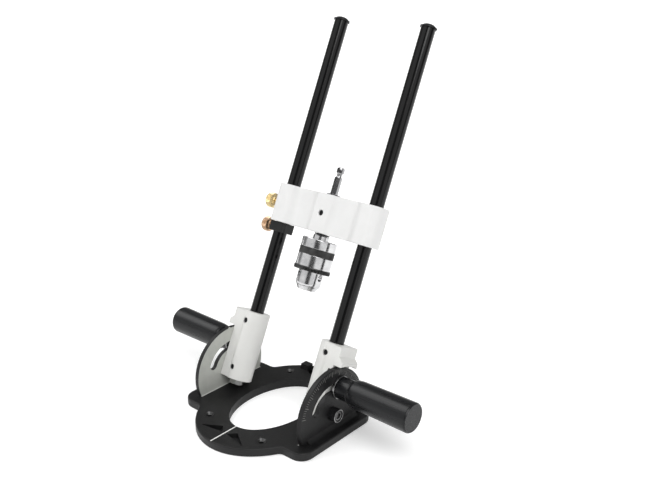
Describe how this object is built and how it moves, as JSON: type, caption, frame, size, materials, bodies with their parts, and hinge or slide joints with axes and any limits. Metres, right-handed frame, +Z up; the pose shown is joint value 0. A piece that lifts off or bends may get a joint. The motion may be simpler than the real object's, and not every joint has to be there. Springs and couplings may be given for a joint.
{
  "type": "drill guide",
  "caption": "Portable drill guide: oval slotted base, tilting two-rod mast, sliding spindle carriage with keyed chuck and depth stop, and a locking handle on each side.",
  "frame": {"origin": "bottom centre of the object's box at rest, on the surface that it stands on", "axes": "+Z up; +X along the right handle; -Y towards the user, at the end of the base with the centre line; the mast leans towards +Y"},
  "size_m": [0.3038, 0.2519, 0.3601],
  "materials": {
    "black_casting": "matte black paint over a die casting",
    "white_casting": "light grey-white paint over a die casting",
    "black_rod": "glossy black oxide",
    "grey_grip": "satin dark grey",
    "brass_knob": "knurled brass",
    "polished_steel": "polished steel",
    "dark_steel": "black oxide",
    "bronze_bush": "sintered bronze"
  },
  "bodies": {
    "base": {"base_casting": "black_casting"},
    "mast": {"left_bracket": "white_casting", "left_rod": "black_rod", "left_rod_clip": "dark_steel", "left_rod_bolt": "polished_steel", "left_pivot_screw": "dark_steel", "left_lower_set_screw": "dark_steel", "left_upper_set_screw": "dark_steel", "right_bracket": "white_casting", "right_rod": "black_rod", "right_rod_clip": "dark_steel", "right_rod_bolt": "polished_steel", "right_pivot_screw": "dark_steel", "right_lower_set_screw": "dark_steel", "right_upper_set_screw": "dark_steel"},
    "left_handle": {"left_handle_grip": "grey_grip", "left_handle_stud": "dark_steel", "left_handle_washer": "dark_steel"},
    "right_handle": {"right_handle_grip": "grey_grip", "right_handle_stud": "dark_steel", "right_handle_washer": "dark_steel"},
    "stop": {"depth_stop": "black_casting"},
    "stop_screw": {"stop_thumb_screw": "brass_knob"},
    "carriage": {"carriage_block": "white_casting", "carriage_set_screw": "dark_steel", "left_lower_rod_bush": "bronze_bush", "left_upper_rod_bush": "bronze_bush", "right_lower_rod_bush": "bronze_bush", "right_upper_rod_bush": "bronze_bush", "lower_spindle_bush": "bronze_bush", "upper_spindle_bush": "bronze_bush"},
    "carriage_screw": {"carriage_thumb_screw": "brass_knob"},
    "spindle": {"spindle": "polished_steel", "spindle_clip": "dark_steel", "spindle_washer": "dark_steel", "chuck_body": "polished_steel"},
    "sleeve": {"chuck_sleeve": "polished_steel"},
    "jaw_1": {"chuck_jaw_1": "polished_steel"},
    "jaw_2": {"chuck_jaw_2": "polished_steel"},
    "jaw_3": {"chuck_jaw_3": "polished_steel"}
  },
  "joints": [
    {"name": "mast_tilt", "type": "hinge", "parent": "base", "child": "mast", "pos_m": [0, -0.038, 0.0243], "axis": [1, 0, 0], "range_deg": [-39.7, 90.3]},
    {"name": "left_handle_turn", "type": "hinge", "parent": "mast", "child": "left_handle", "pos_m": [-0.1, -0.02727, 0.04699], "axis": [-1, 0, 0], "range_deg": [0, 360]},
    {"name": "right_handle_turn", "type": "hinge", "parent": "mast", "child": "right_handle", "pos_m": [0.1, -0.02727, 0.04699], "axis": [1, 0, 0], "range_deg": [0, 360]},
    {"name": "stop_slide", "type": "slide", "parent": "mast", "child": "stop", "axis": [0, 0.4274, 0.9041], "range_m": [-0.0805, 0]},
    {"name": "stop_screw_turn", "type": "hinge", "parent": "stop", "child": "stop_screw", "pos_m": [-0.07, 0.02615, 0.16], "axis": [-1, 0, 0], "range_deg": [0, 360]},
    {"name": "carriage_slide", "type": "slide", "parent": "stop", "child": "carriage", "axis": [0, 0.4274, 0.9041], "range_m": [0, 0.1715]},
    {"name": "carriage_screw_turn", "type": "hinge", "parent": "carriage", "child": "carriage_screw", "pos_m": [-0.07, 0.03653, 0.18197], "axis": [-1, 0, 0], "range_deg": [0, 360]},
    {"name": "spindle_spin", "type": "hinge", "parent": "carriage", "child": "spindle", "pos_m": [0, 0.03465, 0.17799], "axis": [0, 0.4274, 0.9041], "continuous": true},
    {"name": "sleeve_turn", "type": "hinge", "parent": "spindle", "child": "sleeve", "pos_m": [0, 0.01756, 0.14183], "axis": [0, 0.4274, 0.9041], "range_deg": [-3600, 900]},
    {"name": "jaw_1_slide", "type": "slide", "parent": "spindle", "child": "jaw_1", "axis": [0.1136, 0.6078, 0.7859], "range_m": [-0.01605, 0.00405]},
    {"name": "jaw_2_slide", "type": "slide", "parent": "spindle", "child": "jaw_2", "axis": [-0.2418, 0.407, 0.8808], "range_m": [-0.01605, 0.00405]},
    {"name": "jaw_3_slide", "type": "slide", "parent": "spindle", "child": "jaw_3", "axis": [0.1282, 0.2292, 0.9649], "range_m": [-0.01605, 0.00405]}
  ],
  "couplings": [
    {"joint": "jaw_1_slide", "follows": "sleeve_turn", "m_per_rad": 0.00025465},
    {"joint": "jaw_2_slide", "follows": "sleeve_turn", "m_per_rad": 0.00025465},
    {"joint": "jaw_3_slide", "follows": "sleeve_turn", "m_per_rad": 0.00025465}
  ]
}
